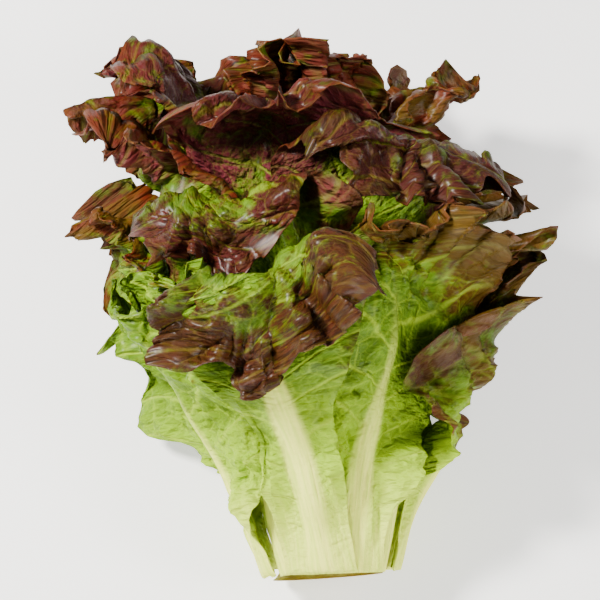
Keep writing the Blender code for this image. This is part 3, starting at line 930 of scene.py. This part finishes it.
class LETTUCE_OT_leaves(bpy.types.Operator):
    """Lays every leaf from the heart outwards"""

    bl_idname = "lettuce.leaves"
    bl_label = "Add leaves"

    def execute(self, context):
        detail = context.scene.lettuce
        shared = {
            "rib": tuple(detail.rib_colour),
            "pale": tuple(detail.pale_colour),
            "vein": (0.34, 0.50, 0.02),
        }
        inside = leaf_finish(
            "leaf_inside",
            {
                **shared,
                "green": tuple(detail.green_colour),
                "light": (0.125, 0.245, 0.001),
                "red": tuple(detail.red_colour),
                "brown": (0.088, 0.044, 0.001),
                "wine": (0.055, 0.004, 0.008),
                "rim": (0.120, 0.028, 0.006),
                "dark": (0.038, 0.010, 0.002),
                "red_vein": (0.120, 0.085, 0.006),
            },
            0.75,
            0.16,
        )
        outside = leaf_finish(
            "leaf_outside",
            {
                **shared,
                "green": (0.060, 0.125, 0.001),
                "light": (0.125, 0.250, 0.001),
                "red": (0.105, 0.014, 0.004),
                "brown": (0.092, 0.052, 0.001),
                "wine": (0.130, 0.016, 0.028),
                "rim": (0.140, 0.036, 0.016),
                "dark": (0.050, 0.015, 0.004),
                "red_vein": (0.12, 0.085, 0.020),
            },
            1.0,
            0.1,
        )
        fountain = Fountain()
        for sheet in stack(LEAVES, fountain, detail):
            add_leaf(sheet, detail, (outside, inside))
        return {"FINISHED"}


class LETTUCE_OT_stem(bpy.types.Operator):
    """Adds the cut stem inside the leaf bases"""

    bl_idname = "lettuce.stem"
    bl_label = "Add stem"

    def execute(self, context):
        detail = context.scene.lettuce
        add_stem(Fountain(), detail, stem_finish((0.60, 0.52, 0.17)))
        return {"FINISHED"}


class LETTUCE_OT_stage(bpy.types.Operator):
    """Adds the floor, the lights and the camera"""

    bl_idname = "lettuce.stage"
    bl_label = "Add stage"

    def execute(self, context):
        centre = (SOLID_LOW + SOLID_HIGH) / 2
        bm = bmesh.new()
        bmesh.ops.create_grid(bm, x_segments=1, y_segments=1, size=6)
        mesh = bpy.data.meshes.new("floor")
        bm.to_mesh(mesh)
        bm.free()
        floor = bpy.data.objects.new("floor", mesh)
        bpy.context.collection.objects.link(floor)
        pale = Finish("pale_floor")
        pale.feed(pale.shader, {
            "Base Color": (0.86, 0.86, 0.86, 1),
            "Roughness": 0.9,
            "Emission Color": (1, 1, 1, 1),
            "Emission Strength": FLOOR_GLOW,
        })
        mesh.materials.append(pale.material)

        world = bpy.data.worlds.new("studio")
        world.use_nodes = True
        sky = world.node_tree.nodes["Background"].inputs
        sky["Color"].default_value = (1, 1, 1, 1)
        sky["Strength"].default_value = SKY_STRENGTH
        context.scene.world = world
        for name, where, power, size in LAMPS:
            add_lamp(name, where, power, size, centre)

        view = bpy.data.cameras.new("camera")
        view.lens = CAMERA_LENS
        camera = bpy.data.objects.new("camera", view)
        elevation = math.radians(CAMERA_ELEVATION)
        back = Vector((0, -math.cos(elevation), math.sin(elevation)))
        distance = FRAME_WIDTH * view.lens / view.sensor_width
        upward = Vector((0, math.sin(elevation), math.cos(elevation)))
        aim = centre + Vector((AIM_RIGHT, 0, 0)) + upward * AIM_UP
        camera.location = aim + back * distance
        camera.rotation_euler = (-back).to_track_quat("-Z", "Y").to_euler()
        context.collection.objects.link(camera)
        context.scene.camera = camera
        return {"FINISHED"}


class LETTUCE_PT_panel(bpy.types.Panel):
    """Lists the sizes, the colours and the operators"""

    bl_idname = "LETTUCE_PT_panel"
    bl_label = "Lettuce"
    bl_space_type = "VIEW_3D"
    bl_region_type = "UI"
    bl_category = "Lettuce"

    def draw(self, context):
        detail = context.scene.lettuce
        for name in detail.__annotations__:
            self.layout.prop(detail, name)
        for operator in (LETTUCE_OT_leaves, LETTUCE_OT_stem, LETTUCE_OT_stage):
            self.layout.operator(operator.bl_idname)


CLASSES = (
    LettuceDetail,
    LETTUCE_OT_leaves,
    LETTUCE_OT_stem,
    LETTUCE_OT_stage,
    LETTUCE_PT_panel,
)


def register():
    for cls in CLASSES:
        bpy.utils.register_class(cls)
    bpy.types.Scene.lettuce = PointerProperty(type=LettuceDetail)


def unregister():
    del bpy.types.Scene.lettuce
    for cls in reversed(CLASSES):
        bpy.utils.unregister_class(cls)


def main():
    register()
    bpy.ops.lettuce.leaves()
    bpy.ops.lettuce.stem()
    bpy.ops.lettuce.stage()


if __name__ == "__main__":
    main()
